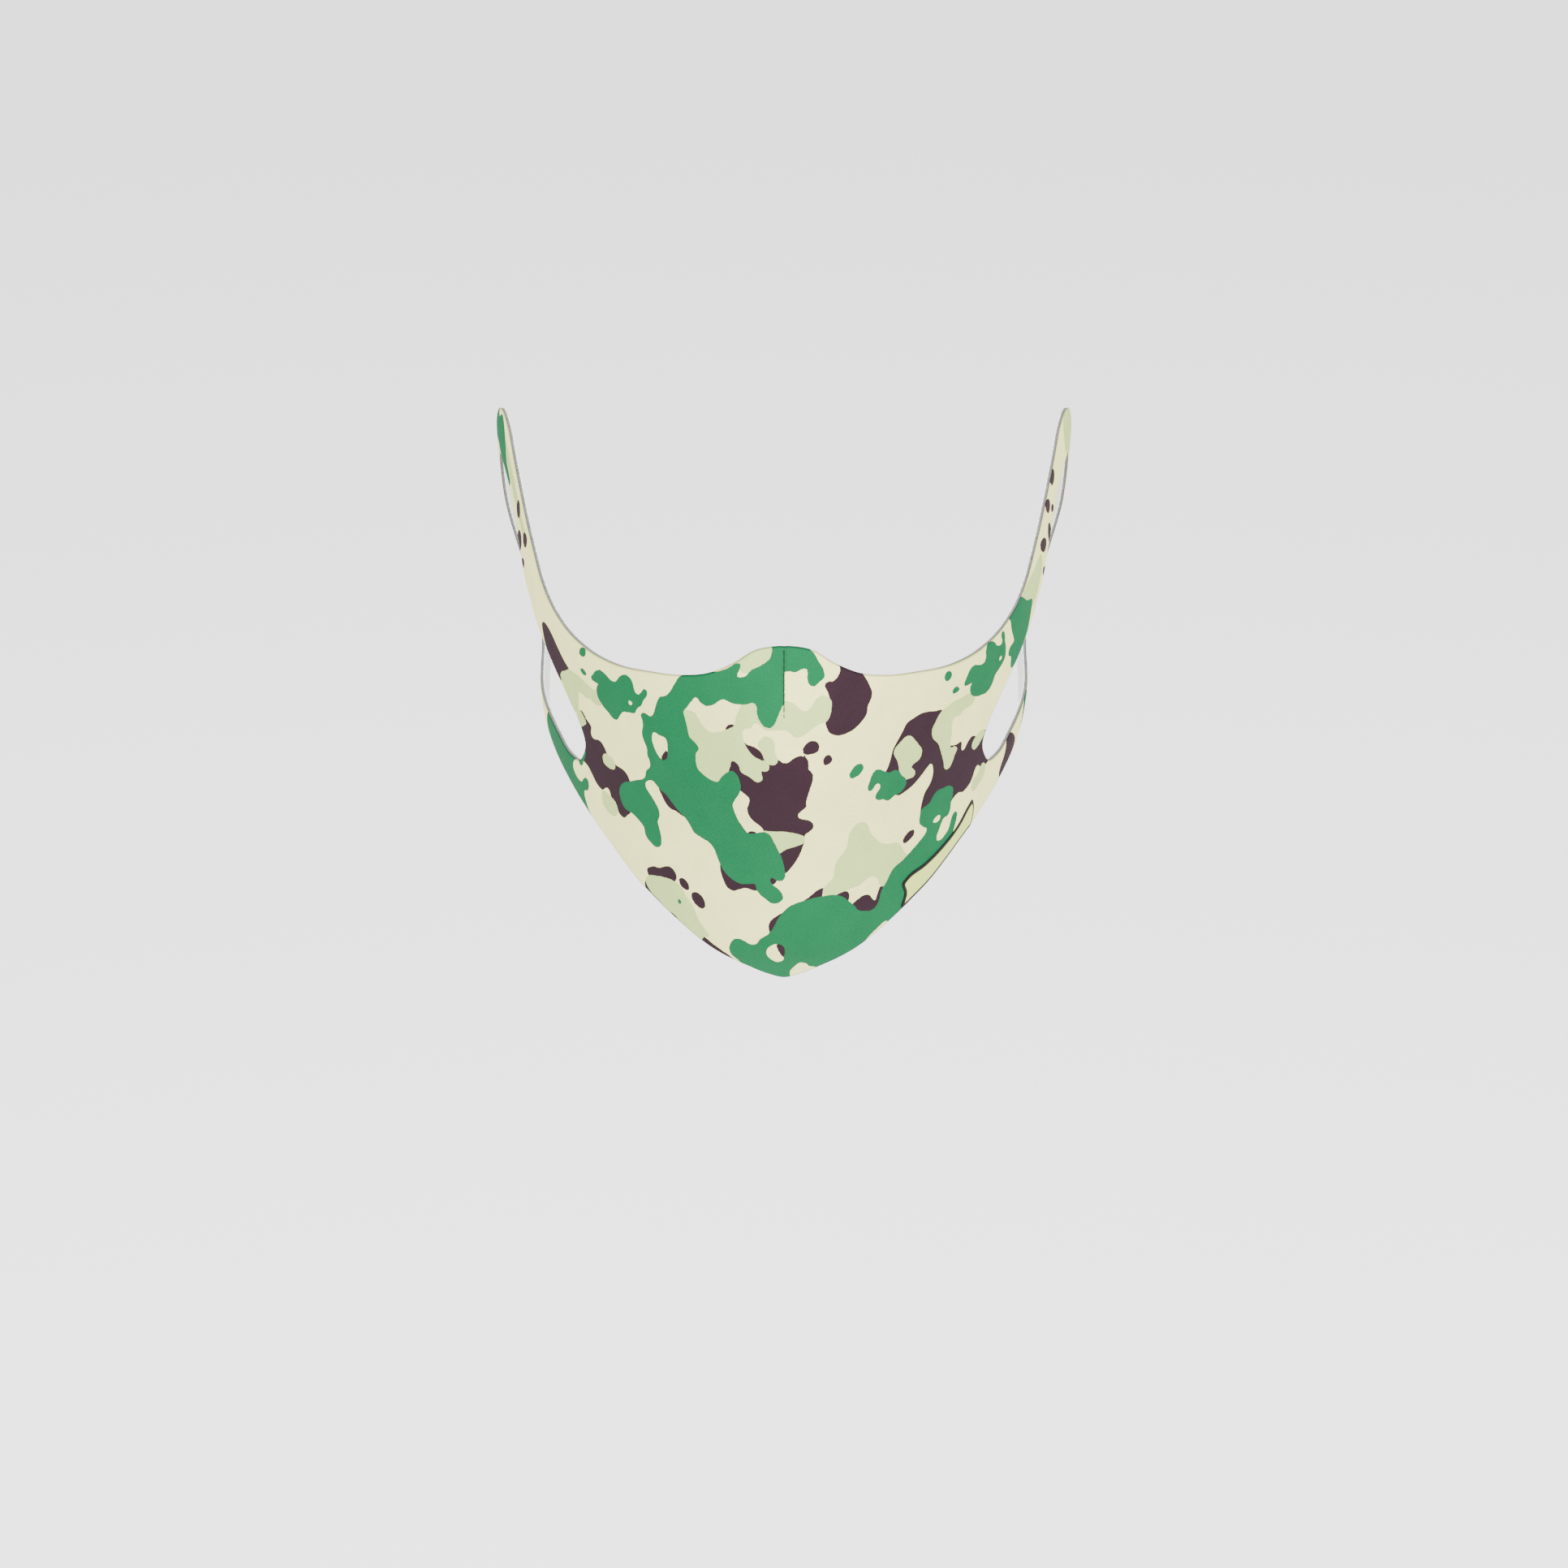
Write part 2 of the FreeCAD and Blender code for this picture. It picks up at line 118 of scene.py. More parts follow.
# Print, in (along, height) millimetres: outlines that add a colour, and holes that take it away
BROWN = [
    [(-148, -41), (-143, -43), (-136, -42), (-131, -45), (-136, -50), (-146, -47)],
    [(-178, 2), (-174, 6), (-168, 5), (-165, -1), (-168, -8), (-174, -10), (-180, -5)],
    [(103.5, -41.5), (100.5, -46.5), (96, -51.5), (98.5, -54), (104, -51.5), (109, -50.5), (113, -48),
     (109, -43.5)],
    [(148, -34), (154, -31), (160, -33), (163, -38), (158, -45), (150, -46), (145, -41)],
    [(160, 8), (166, 10), (172, 6), (178, 0), (176, -6), (169, -4), (165, 1), (161, 3)],
    [(-15.9, -22), (-15.2, -20.2), (-14.6, -19.2), (-12.8, -19.2), (-9, -19), (-5, -18.4), (-3, -18.6),
     (-1.8, -17.4), (-0.5, -18.2), (1, -18.3), (2.5, -17.2), (4.3, -16.7), (5.8, -17.3), (6.3, -18.5),
     (6.2, -20), (7.3, -21.2), (7.5, -22.5), (6.8, -25), (6, -27.5), (5.6, -29.5), (5.7, -30.5),
     (4.6, -31.7), (3.5, -33), (3.6, -34.3), (4.6, -35), (6.3, -35.5), (7.5, -36.8), (7.6, -38),
     (6.8, -39), (5.4, -40), (5.1, -42.8), (4.5, -45), (3.2, -48.5), (1.7, -51), (0.2, -52.9), (-2, -50),
     (-3, -44), (-5, -39.3), (-5.6, -37.8), (-7.5, -36.2), (-9.2, -34.2), (-9.7, -32), (-9.2, -30),
     (-9, -28.8), (-9.8, -27.8), (-11.5, -26.8), (-13.5, -25.5)],
    [(-11, -14), (-9.8, -14.6), (-8, -14.8), (-6.5, -15.5), (-5.3, -17), (-4.9, -18.2), (-6, -17.9),
     (-8, -17.2), (-9.7, -15.8)],
    [(-16.6, -12.2), (-15.8, -11), (-14.8, -10.5), (-13.5, -10.6), (-14.5, -11.4), (-15.8, -11.9)],
    [(-16, 2.5), (-15, 2.9), (-14, 3.4), (-14.5, 4.5), (-16, 4)],
    [(-41.8, -25.8), (-41, -24.5), (-39.4, -23.2), (-38.5, -25), (-40.3, -26.8)],
    [(-42.2, -35.3), (-40.5, -35), (-38, -36), (-35, -37.8), (-32, -40), (-31.2, -40.7), (-34, -40.1),
     (-37, -39.9), (-39, -38.8), (-40.5, -37.3)],
    [(-9.7, -40.4), (-8.8, -39.6), (-7.4, -39.8), (-7.6, -40.4), (-9, -40.7)],
    [(-86.5, -31.8), (-85, -30.8), (-83.7, -29.9), (-86.5, -28.3), (-89, -27.8), (-87.5, -27.3),
     (-83, -28.8), (-80.3, -29.8), (-80.3, -31.8), (-79, -32.8), (-77.5, -32.8), (-75, -32.1),
     (-73, -32.3), (-71, -33.3), (-69.8, -34.3), (-68, -35.5), (-64.8, -36.1), (-62, -36.1), (-59, -36.3),
     (-57, -37.3), (-55.8, -38.6), (-53, -43), (-54.5, -47.8), (-56, -49.2), (-57.5, -50.5), (-59, -50.4),
     (-60.5, -49.8), (-61.5, -48.2), (-63.5, -47.3), (-64.8, -46.7), (-65.8, -45.2), (-67, -44.5),
     (-68.5, -44.9), (-70, -46.2), (-72, -46.2), (-75, -45.1), (-77.5, -43.6), (-80, -42.4), (-82.5, -42),
     (-86, -41.5), (-88, -36)],
    [(-94, -17.8), (-96.5, -17), (-99.5, -15.5), (-102, -14), (-105, -12), (-110, -10.5), (-115, -12.5),
     (-114, -19.5), (-108, -22), (-102, -23), (-101.5, -20.8), (-98, -19.4)],
    [(-17.6, -52), (-17.5, -54), (-16.5, -57), (-15.3, -59), (-14, -59.6), (-12, -58.8), (-10, -58.1),
     (-8, -58.6), (-6.5, -58.4), (-6.6, -56), (-10, -54), (-15, -52)],
    [(-4.2, -54.8), (-3.4, -53.6), (-1.9, -55), (-3.2, -56.6)],
    [(-45.5, -62.5), (-44, -61.4), (-42.5, -60.7), (-40, -60.3), (-37.5, -59), (-36, -58.5), (-34, -59),
     (-33, -60.5), (-33.5, -62), (-34.5, -62.9), (-36.5, -62.8), (-39, -62.4), (-42, -63.5),
     (-44.3, -64.6)],
    [(-31.7, -61), (-31, -60.4), (-29.5, -60.6), (-28.2, -62), (-28.3, -63.2), (-29.8, -63.2),
     (-31.3, -62.4)],
    [(-27, -64.2), (-26, -63.3), (-24.5, -63.4), (-22.8, -65), (-22.5, -66.8), (-23.5, -67.7),
     (-25, -67.2), (-26.6, -65.8)],
    [(-46.2, -66.5), (-44.8, -68.8), (-40, -71), (-36.3, -72.8), (-34, -73), (-32.2, -74.4), (-29, -76),
     (-38, -77), (-47, -71)],
    [(-24.5, -77.5), (-22.8, -77.4), (-20, -79.1), (-17, -81), (-14.5, -83), (-13.3, -84.8), (-17, -86),
     (-24, -82), (-26, -79)],
    [(-3.9, -70), (-3.3, -68.3), (-2, -67), (-0.3, -65.9), (0, -67.5), (-2, -71), (-3.2, -72.8)],
    [(-1.7, -76.3), (-0.2, -76.8), (0.6, -79), (0, -81.6), (-1.2, -79.3), (-1.7, -77.8)],
    [(5, -62.5), (7, -60.6), (9, -58.9), (10.4, -58.4), (10.1, -60), (9.7, -62.5), (7, -63.5)],
    [(13.4, -61.1), (15.5, -60.9), (17.2, -60.7), (17.9, -61.8), (17.7, -63.5), (17, -65.5), (14.5, -63)],
    [(18.8, -65.5), (20.5, -64.3), (23, -63.4), (24.5, -63.8), (25.5, -65.3), (26.6, -66.2), (27.3, -65),
     (28, -63.3), (28.8, -62.2), (30.3, -62.1), (31.5, -62.4), (30.5, -66), (28, -70), (24, -71),
     (19.5, -68.5)],
    [(11, -0.9), (12, -0.6), (13.5, -0.7), (14.8, 0.3), (15.6, 1.5), (15.2, 3), (16.5, 5), (24, 2.5),
     (22.3, 0.1), (23.5, -1.5), (25, -3.5), (26.1, -5.5), (25.8, -6.8), (24.8, -8), (24.6, -9.8),
     (23.5, -10.8), (20.5, -12.4), (17.5, -13), (14.5, -12.8), (12.5, -11.8), (11.5, -10.2), (11.3, -9),
     (12.2, -8.2), (12.7, -6.3), (12.6, -4.7), (11.9, -2.7)],
    [(5, -15), (5.5, -14.2), (7, -13.3), (8.5, -13.6), (9.3, -14.6), (9, -15.7), (7, -16.2), (5.3, -16)],
    [(10.7, -18.8), (11, -17.8), (12, -17.4), (13, -18), (13.3, -18.7), (12.5, -19.4), (11, -19.5)],
    [(32.3, -27.8), (34, -25.8), (35, -24), (36, -21.7), (37.5, -20.2), (39.8, -18.2), (41.5, -16.5),
     (44, -16.1), (48, -15.8), (51, -16.2), (55, -17.2), (58.8, -18.2), (58, -22), (60, -27), (64, -29.7),
     (67, -30.6), (70.4, -31), (70, -32.3), (70, -33.7), (71.5, -33.8), (74, -32.4), (77, -31.6),
     (79.4, -32.6), (82, -34), (86, -33), (88, -42.5), (86, -43), (84, -43.3), (83, -42.6), (80.5, -42.8),
     (79.5, -41.8), (78, -41.4), (76.5, -42.3), (75.3, -43.5), (73.5, -45), (71, -45.9), (68.5, -46.3),
     (66.5, -45.6), (64, -45.8), (61.5, -46.8), (55, -48), (46.4, -45.5), (48, -41), (49.2, -39.5),
     (51.5, -38), (53.5, -36), (54.3, -33.5), (54, -31.8), (53.3, -31.3), (51, -32), (48, -33.4),
     (44, -35), (40.5, -35.8), (37.5, -36), (35, -34)],
    [(38, -51), (39, -50), (41.5, -49), (42.9, -49.3), (42.8, -50.4), (41, -51.4), (39.3, -51.9),
     (38.2, -51.7)],
]
SAGE = [
    [(-134, 31), (-130, 29), (-125, 24), (-118, 16.5), (-112, 9), (-115, 7), (-120, 11), (-126, 16),
     (-131, 22)],
    [(-172, 26), (-166, 22), (-162, 14), (-166, 8), (-174, 10), (-180, 18)],
    [(103, -1.5), (109, 2.5), (115, 5), (119, 3), (123, 0), (122, -7), (114, -8), (107, -4)],
    [(134, 34), (141, 37), (150, 34), (155, 27), (149, 22), (141, 24), (136, 28)],
    [(166, -14), (173, -12), (180, -18), (176, -28), (168, -30), (162, -24)],
    [(-2, 10), (-2, 5), (-8, 2), (-10, 1.7), (-11.5, 1.9), (-12.3, 3), (-13.8, 3.6), (-15.5, 6),
     (-9, 10)],
    [(-31.2, -10.5), (-29, -10.2), (-27, -10.4), (-25.5, -11.8), (-23.5, -13.3), (-21.5, -13.8),
     (-19, -13.2), (-17, -12.5), (-15, -11.5), (-13.5, -10.6), (-13, -8.5), (-12.2, -7), (-11.3, -5.5),
     (-10, -4), (-6, -4), (-6.3, -7), (-8, -9.1), (-8.9, -10.2), (-10.8, -10.6), (-11, -13.9),
     (-9.7, -15.8), (-8, -17.2), (-6, -17.9), (-4.9, -18.3), (-4, -19.2), (-4.3, -20.2), (-6.3, -20.3),
     (-5.8, -22.6), (-6.9, -23.4), (-9, -22.3), (-11.8, -21.2), (-12.2, -20), (-13, -19.3),
     (-14.8, -19.2), (-15.2, -20.5), (-16, -22.5), (-19, -28), (-29, -28), (-31, -18), (-33, -12)],
    [(-6.7, -14.2), (-6, -12.8), (-4.5, -12), (-3, -12.7), (-2.5, -14), (-2.6, -15.5), (-1.8, -17.2),
     (-2, -18.3), (-3.3, -18.6), (-4.6, -18), (-5.3, -16.5), (-6, -15.3)],
    [(-8.4, -9.2), (-7.2, -8.8), (-5, -10.2), (-2, -10.2), (0.5, -10.2), (1.8, -11), (3, -11.9),
     (4.5, -11.7), (7, -10.4), (9.5, -9.3), (11.4, -9), (12.2, -8.2), (12.7, -6.3), (12.6, -4.7),
     (11.6, -3.8), (10, -3.4), (8.5, -4), (7, -5.8), (5.8, -6.4), (4.5, -6.1), (3, -5), (1.5, -4.2),
     (-0.5, -4), (-4, -4), (-7, -7)],
    [(-93.8, -17.8), (-90, -17.6), (-85, -17.6), (-80, -18.1), (-77, -18.2), (-73, -17.8), (-73, -20.5),
     (-76, -21.6), (-78, -21.8), (-80.5, -21.3), (-83, -21.9), (-86, -21.7), (-88.3, -21.9), (-89, -23.5),
     (-89.3, -25.5), (-89.7, -28), (-93, -29), (-98, -26), (-102.5, -22), (-99, -20), (-96.5, -18.9)],
    [(-89.9, -27.9), (-87, -27.9), (-84.5, -29.2), (-83.8, -29.8), (-85, -30.7), (-86.5, -31.8),
     (-90, -31)],
    [(-71.5, -35.8), (-70.5, -34.9), (-68, -34.8), (-66, -34.9), (-64.7, -36), (-64.3, -37.2),
     (-66, -37.9), (-68.5, -38), (-70.8, -37.4)],
    [(-70.4, -48), (-70, -46.9), (-68, -46.5), (-65.5, -46.9), (-63.5, -47.2), (-61.8, -48.3),
     (-61.2, -50), (-62.2, -51.8), (-64, -52.2), (-67, -51.8), (-69.5, -50.6)],
    [(-46, -65.5), (-45, -64.5), (-42, -63.5), (-38, -62.6), (-34, -62.4), (-31, -63.3), (-29.5, -65.2),
     (-27, -67.5), (-25.7, -70), (-24.2, -72.6), (-22, -75.2), (-21, -76.6), (-23, -77.3), (-23.5, -78.5),
     (-26, -78.5), (-31, -75.4), (-34, -73), (-36.3, -72.8), (-40, -71), (-44.8, -68.8), (-46.2, -67)],
    [(10.5, -59), (11.5, -57.5), (13.5, -55.7), (13.8, -53.5), (14.3, -51), (16, -49), (17.8, -46.8),
     (18.3, -44), (19.5, -41.5), (21.5, -40.3), (23.5, -40.4), (24.8, -41.8), (25.5, -44.3), (27.5, -47),
     (29.8, -49.3), (32.5, -50.3), (35, -50.7), (36.8, -52), (37.8, -54), (39.5, -56.5), (36, -60),
     (31.5, -62), (29, -62.2), (28.3, -61), (27.5, -59), (25.5, -58.1), (23.5, -58.5), (21.5, -59.6),
     (18, -60), (14.5, -60.8), (11.5, -62)],
    [(58.8, -18.2), (61, -18), (66, -17.6), (70, -18), (74.5, -18.2), (78, -19.5), (78, -21),
     (75.5, -21.7), (72, -21.4), (69, -22.3), (66, -22), (65, -22.8), (64.7, -26), (63.9, -28.8),
     (63.8, -30.2), (66.5, -30.9), (67.5, -31.8), (66, -33), (64, -35), (62, -36.1), (60, -35.6),
     (59.9, -33.5), (59.3, -30.8), (58.5, -28.3), (57.6, -26.5), (56, -25.2), (54.5, -23.6), (54.2, -22),
     (55.8, -20.2)],
    [(76.3, -34.5), (77.3, -33.4), (79.5, -32.6), (82, -32), (84, -32.2), (86, -33), (84.3, -33.9),
     (82, -34.8), (79, -35.8), (77, -35.8)],
    [(36.3, -22.5), (37, -21.7), (39, -20.8), (41.5, -20), (43.5, -20.4), (45.5, -22), (47.5, -24),
     (49, -25.8), (48.8, -27), (47.5, -28), (45.5, -28.3), (44.3, -28.6), (43.8, -29.2), (44.8, -30.3),
     (45.5, -31.5), (44.8, -32.3), (43, -32.3), (41, -32), (39, -29.8), (38.5, -27), (37.8, -25),
     (36.7, -23.5)],
    [(74, -46.8), (75, -45.3), (78, -44.5), (80, -43.3), (82, -42.4), (83.5, -43.2), (83.2, -45),
     (81.5, -46.8), (78.5, -47.8), (75.5, -48.7), (74.2, -48)],
    [(-5.5, -39.2), (-3, -39.1), (0, -39.1), (3, -39.8), (5.1, -40.9), (5.2, -42.5), (3, -43.8),
     (0.5, -44.7), (-1.5, -46.3), (-5, -45), (-6, -41)],
]
GREEN = [
    [(-143, 34), (-138, 35.5), (-134, 33), (-132.5, 29), (-133, 24), (-131, 19), (-135, 17), (-140, 20),
     (-144, 26), (-152, 27), (-158, 32), (-154, 38), (-147, 39)],
    [(-180, -10), (-172, -12), (-166, -18), (-160, -24), (-154, -30), (-158, -38), (-168, -36),
     (-178, -26)],
    [(124, -40), (131, -38), (137, -41), (143, -38), (146, -44), (140, -50), (130, -52), (122, -48)],
    [(160, 24), (165, 28), (172, 24), (178, 16), (174, 10), (167, 14), (163, 18)],
    [(-3.2, 10), (-3, 6.5), (-3.5, 5), (-5.5, 3.6), (-8.8, 2), (-9.8, 1), (-11, 0.5), (-12.8, 0.4),
     (-12.7, 1.2), (-11.8, 2.6), (-11.7, 3.3), (-12.5, 3.3), (-15, 2), (-17.5, 1), (-20, 0.4),
     (-21.3, 0.6), (-23, 3), (-31, 1), (-30.3, -2), (-32, -3), (-34, -5), (-37, -8), (-39, -9.2),
     (-41, -9.8), (-42, -10.8), (-43.5, -13), (-44.7, -15), (-46, -16), (-49.3, -16), (-51, -17),
     (-50.2, -18.3), (-50.4, -20), (-50.9, -21.8), (-50, -23.5), (-48.6, -25), (-48.4, -27),
     (-47.3, -28.2), (-47, -30.5), (-48.5, -32), (-48.9, -34.5), (-50, -35.5), (-52.5, -36.7),
     (-56, -38.5), (-59.5, -40.5), (-60.6, -42.5), (-59.8, -45), (-57.8, -47), (-53, -47.6), (-50, -48.5),
     (-47.3, -50), (-46.5, -52), (-44.5, -53.3), (-41, -53.9), (-39.8, -53), (-39.8, -50.5), (-40.8, -48),
     (-41.7, -46), (-41.1, -44), (-41.5, -42.5), (-43.5, -40.5), (-46.5, -38.5), (-48.3, -37.2),
     (-48.6, -36), (-47.5, -34.8), (-45.5, -34), (-43.5, -34.7), (-41.8, -35.5), (-39, -36.2), (-36, -38),
     (-32.5, -40), (-30.5, -41), (-28.5, -42.7), (-27, -44.5), (-24.5, -45.3), (-21.5, -46.2),
     (-19.8, -47.7), (-18.8, -49.8), (-17.5, -52.5), (-16, -54.5), (-13.5, -56.3), (-11.5, -57),
     (-9, -56.6), (-7.6, -56.4), (-7, -58.5), (-6, -60), (-4.5, -61.3), (-3.3, -62.4), (-1.5, -62.3),
     (-0.4, -61), (-0.8, -59.2), (-2.2, -57.5), (-3.5, -56.2), (-3.8, -54.6), (-3.2, -54.1), (-2, -55),
     (-0.6, -55.3), (0, -54.5), (0, -52), (-0.6, -48.5), (-1.6, -45.5), (-2.8, -42.5), (-4, -40),
     (-5, -39.4), (-6.5, -39.7), (-8, -40.3), (-9.8, -40.4), (-10.5, -39.5), (-12.5, -36.8), (-13.8, -34),
     (-14.4, -31.8), (-13.8, -30), (-12.6, -28), (-12, -26), (-12.3, -24.2), (-13.3, -22.5), (-14.5, -22),
     (-15.8, -22.6), (-18, -24.5), (-19.3, -26.2), (-21, -26.3), (-24.5, -25.5), (-26.8, -24.3),
     (-27.6, -22), (-27.3, -20), (-26.2, -19), (-27.5, -17.8), (-29.8, -16.8), (-30.5, -14.5),
     (-31.3, -12.2), (-31.7, -11), (-30, -9.3), (-27.8, -7.2), (-26.2, -6.1), (-25, -7), (-23, -7.5),
     (-20.5, -6.8), (-18, -5.3), (-16.8, -4.9), (-14.8, -5.3), (-10, -5), (-7.8, -4.5), (-7, -5.3),
     (-6.9, -7), (-6, -8.6), (-4.8, -9.6), (-3.3, -9.6), (-2.2, -8.2), (-1.2, -6), (-0.4, -4.7),
     (0, -4.3), (0, -3), (0, 1), (0, 4), (0, 10)],
    [(-83.5, -10.5), (-82.5, -9.2), (-80.5, -8.2), (-78.5, -8.2), (-79.5, -9.5), (-81.5, -10.5)],
    [(-85, -15.2), (-83.5, -14.4), (-82, -14.4), (-81, -15), (-82, -15.5), (-84, -15.6)],
    [(-78, -15.2), (-76, -13.6), (-73.5, -12), (-71, -11.2), (-68.5, -11.4), (-65, -12.2), (-63, -11.9),
     (-60.5, -10.2), (-58, -8.8), (-55.5, -8.4), (-53.8, -9), (-53.3, -10.5), (-52.7, -11.8),
     (-51, -11.8), (-49.5, -10.8), (-48, -9.7), (-46.8, -9.8), (-47.5, -11.2), (-49.2, -12.5),
     (-50.3, -14), (-53, -15.8), (-54, -17), (-57, -17.8), (-61, -19), (-62.5, -20.3), (-64, -21.8),
     (-66, -22.3), (-69, -21.5), (-73, -20.3), (-75, -19), (-75.3, -17.5), (-74, -16), (-73, -15.4),
     (-76, -15.4)],
    [(-83.3, -37.8), (-82.5, -40), (-83.3, -41.5), (-84, -43.5), (-85.5, -44.2), (-87.5, -43.2),
     (-89.5, -43.8), (-91.2, -45.5), (-91.5, -47), (-90, -48.7), (-87, -49.7), (-84.5, -49.6), (-83, -48),
     (-81.5, -47), (-79.8, -47.3), (-79.3, -48.5), (-80.2, -50.5), (-82.5, -51.3), (-83, -52.5),
     (-82, -54.8), (-80, -57.5), (-77, -60), (-84, -62), (-100, -58), (-116, -53), (-121, -47),
     (-118, -40), (-108, -38), (-92, -39)],
    [(-14.7, -79.5), (-14.2, -77.2), (-13.2, -75.7), (-12, -75.4), (-10.3, -76.2), (-8.5, -77.2),
     (-7.3, -76.8), (-6.3, -75), (-4.3, -73.3), (-3, -71.5), (-1.5, -68), (0, -65.3), (1.5, -63.7),
     (3.5, -62.6), (6, -61.8), (8.5, -61.2), (11, -61), (14, -61.3), (16.3, -62.5), (18, -64.3),
     (19.5, -65.8), (20.5, -67.5), (23, -68.6), (25, -69), (26.8, -68.4), (28, -66.8), (29, -64),
     (30, -62.6), (31.5, -61), (33, -59), (34.5, -58), (37, -57.3), (41, -55.6), (45, -53.8),
     (48.5, -51.8), (49, -51), (47.5, -49.8), (45.6, -47.8), (46, -46), (46.8, -44.3), (49, -43.9),
     (51, -43.5), (53, -42), (55, -41.2), (58, -41.4), (61.5, -41.9), (63, -43), (62.5, -45.5),
     (61.5, -47), (60.8, -49.3), (59.5, -50.5), (57.5, -50.5), (56.3, -51.3), (54.5, -53.5), (53.3, -55),
     (53.5, -56.5), (55, -57), (58, -56.3), (59.8, -55.3), (61, -53.5), (62, -51.9), (63.5, -51.1),
     (64.8, -51.8), (64.3, -53.5), (63.3, -55.5), (62, -58), (60, -66), (42, -76), (20, -88), (0, -97),
     (-8, -92), (-11, -86), (-12.5, -83.4), (-14, -81.8)],
    [(19.1, -24.3), (20, -22.9), (22, -22), (23.5, -22.4), (24, -23.4), (23, -24.4), (21, -25),
     (19.6, -25)],
    [(25.7, -30), (26.5, -28), (27.7, -26), (28.8, -25.4), (30.3, -25.7), (32.5, -27), (34.5, -27.9),
     (36.5, -27.8), (38.3, -28.7), (39.5, -30.5), (41, -32), (41.2, -33.2), (40, -34.6), (38, -35.4),
     (36, -35.4), (34.5, -36), (33, -36.2), (31.5, -35.2), (29, -34.6), (28.4, -33.8), (29, -32.5),
     (30.5, -31.2), (30.4, -29.9), (29.3, -29.2), (28.2, -29.8), (27, -30.8), (26, -30.7)],
    [(57.9, -8.9), (59, -8.3), (61, -8.9), (61.9, -10), (60.5, -10.6), (58.7, -10.1)],
    [(63.7, -14.3), (64.8, -13.8), (66.5, -14.2), (67.5, -15), (65.5, -15.2), (64, -14.9)],
    [(70.2, -14.5), (71.2, -13), (72.5, -11.5), (74.5, -11), (77, -11.6), (80, -12.3), (81.8, -12.1),
     (82.3, -11), (81.2, -9), (81.5, -7.8), (83.5, -7.6), (86, -8.3), (88.5, -9.8), (91, -10.7),
     (93, -10.6), (92.5, -9.3), (91, -8), (90.8, -7.2), (92.5, -7.6), (94, -9), (95, -10.6),
     (96.6, -12.2), (97.6, -14), (98, -15.7), (96.5, -16.7), (94, -17.6), (91.5, -18.4), (90.5, -19.8),
     (88.5, -21), (86, -21.4), (83, -21), (79, -20.2), (76.5, -19.2), (75, -18), (74.4, -16.5),
     (75.5, -15.5), (73, -15.3)],
    [(93.5, -4), (96, -5.5), (99, -8.5), (102.5, -11.5), (104.3, -13.4), (102.5, -13.8), (100.6, -14.6),
     (101, -15.8), (103.8, -17.3), (105, -20.5), (112, -20), (119, -14), (117, -7), (109, -4.5),
     (101.5, -1.5), (97, 0)],
    [(-1.5, 10), (-1.5, 2.7), (1.5, 2.6), (3, 2.4), (5, 3.1), (6.2, 2.8), (6.2, 1), (6.6, -0.4),
     (7.8, -0.9), (9.2, -0.1), (10.7, 0.8), (10.3, 2.2), (9, 4), (7.8, 5.8), (6.5, 7), (6.3, 10)],
    [(-32.1, -67.6), (-31.4, -67.4), (-31, -68.3), (-31.7, -68.7)],
]
GREEN_HOLES = [
    [(-46, -21.5), (-45.3, -20), (-43, -20), (-39.6, -20.3), (-39.3, -22.5), (-39.6, -25), (-41, -26),
     (-42.5, -25.7), (-44.8, -24)],
    [(-57, -15.3), (-56, -14.8), (-55, -15), (-56, -15.6)],
    [(93, -14.6), (94, -14.3), (95, -14.9), (94, -15.1)],
    [(-4.5, -79.5), (-4, -78), (-2.8, -76.9), (-1.5, -76.6), (-0.3, -77.5), (0.1, -79), (-0.2, -81.5),
     (-0.5, -83), (-1.5, -83.7), (-3, -82.8), (-4.2, -81)],
    [(1.8, -90.5), (1.8, -88.5), (3, -86), (4.3, -84.4), (5.8, -84.8), (6.6, -86.3), (8, -86.5), (9, -89),
     (6, -95), (2, -95)],
    [(22.5, -81), (24.5, -78), (27, -76.2), (31, -74.6), (32, -77), (27, -81)],
    [(52, -49.9), (53.5, -49.1), (55.5, -49.2), (55, -50.2), (53, -50.3)],
]

# Small brown marks: centre, half length, half width and tilt in degrees
SPOTS = [(118, 24.5, 5.8, 1.9, -28), (116, 17, 5.3, 1.5, -25), (126, 13.5, 3.0, 0.8, -24),
         (127.5, 7, 7.0, 1.2, -30), (118, 6.5, 7.0, 1.4, -19), (133, -4, 7.0, 0.9, -20),
         (-120, 15, 5.0, 1.7, 34), (-128, 5, 7.0, 1.6, 27), (-115, 8.5, 4.6, 1.3, 28),
         (-131, -1.5, 6.3, 0.9, 21), (160, 30, 1.8, 1.2, -30), (-163, 22, 2, 1.3, 70)]
PRINT_REACH = 2.0
INK_SPREAD = 0.18


def through(stations):
    """A smooth curve through (height, value) stations."""
    heights, values = np.array(stations, float).T
    after = np.minimum(np.arange(len(heights)) + 1, len(heights) - 1)
    before = np.maximum(np.arange(len(heights)) - 1, 0)
    slopes = (values[after] - values[before]) / (heights[after] - heights[before])

    def value(height):
        i = min(max(np.searchsorted(heights, height, side="right") - 1, 0), len(heights) - 2)
        step = heights[i + 1] - heights[i]
        t = (height - heights[i]) / step
        ends = (2 * t**3 - 3 * t**2 + 1) * values[i] + (3 * t**2 - 2 * t**3) * values[i + 1]
        bends = (t**3 - 2 * t**2 + t) * slopes[i] + (t**3 - t**2) * slopes[i + 1]
        return ends + bends * step

    return value


nose_to_ear = through(NOSE_TO_EAR)
half_width = through(HALF_WIDTH)
squareness = through(SQUARENESS)
ear_flare = through(EAR_FLARE)


def rounded(value, radius):
    return np.sqrt((value + radius) ** 2 - radius**2)


